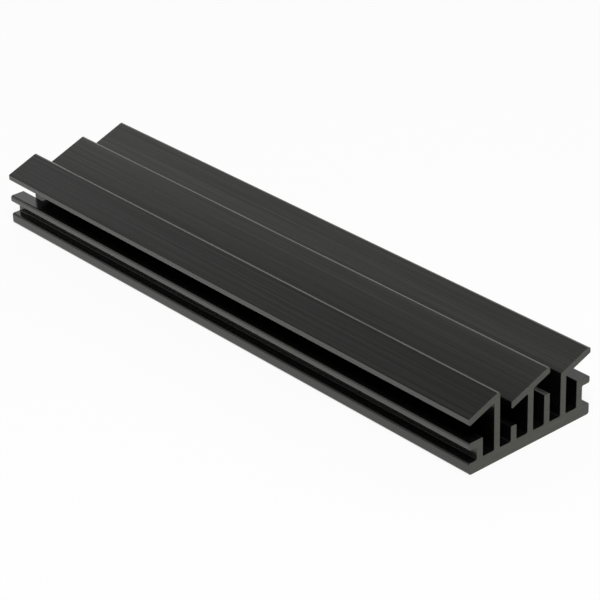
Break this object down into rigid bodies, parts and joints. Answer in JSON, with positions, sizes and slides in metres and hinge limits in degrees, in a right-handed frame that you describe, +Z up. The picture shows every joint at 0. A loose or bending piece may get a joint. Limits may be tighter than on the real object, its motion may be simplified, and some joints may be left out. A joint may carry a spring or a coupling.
{
  "type": "ssd heat sink",
  "caption": "Low extruded aluminium heat sink for a slim solid state drive module, with sloped louvre blades over upright fins and a groove along each side.",
  "frame": {"origin": "middle of the flat underside, at half the length and half the width", "axes": "+X along the extruded bar, +Y across it towards the louvres' upper edges, +Z up from the flat underside"},
  "size_m": [0.1, 0.022, 0.0101],
  "materials": {
    "black_anodised": "black anodised, satin"
  },
  "bodies": {
    "root": {"heat_sink": "black_anodised"}
  },
  "joints": []
}
